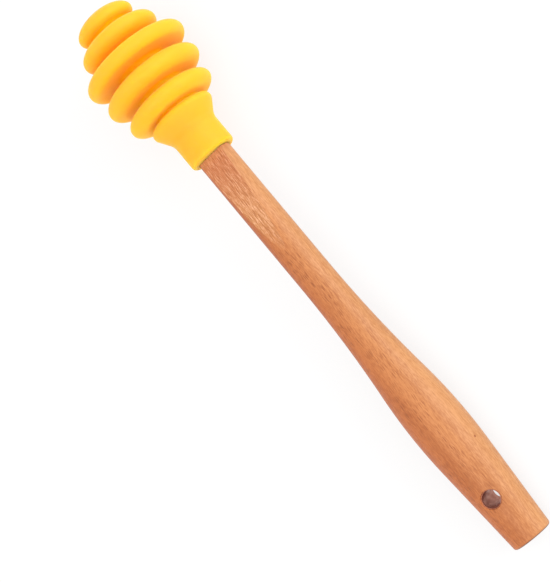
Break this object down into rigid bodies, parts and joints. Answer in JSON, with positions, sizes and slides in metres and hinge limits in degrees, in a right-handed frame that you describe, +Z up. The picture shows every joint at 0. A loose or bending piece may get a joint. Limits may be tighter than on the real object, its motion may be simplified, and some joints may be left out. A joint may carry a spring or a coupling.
{
  "type": "honey dipper",
  "caption": "Honey dipper: a soft ringed head on a slim turned wooden handle with a swelling grip and a lined hanging hole.",
  "frame": {"origin": "on the table under the middle of the dipper, as it lies at rest on its largest ring and the belly of its grip", "axes": "+X from the tip of the head towards the butt, +Z up; the tool's own axis lies in the XZ plane and leans 3.5 degrees down towards the butt"},
  "size_m": [0.19, 0.0334, 0.0334],
  "materials": {
    "yellow_silicone": "satin",
    "beech_wood": "satin",
    "bronze_metal": "satin"
  },
  "bodies": {
    "root": {"dipper_head": "yellow_silicone", "handle": "beech_wood", "hanging_hole_sleeve": "bronze_metal"}
  },
  "joints": []
}
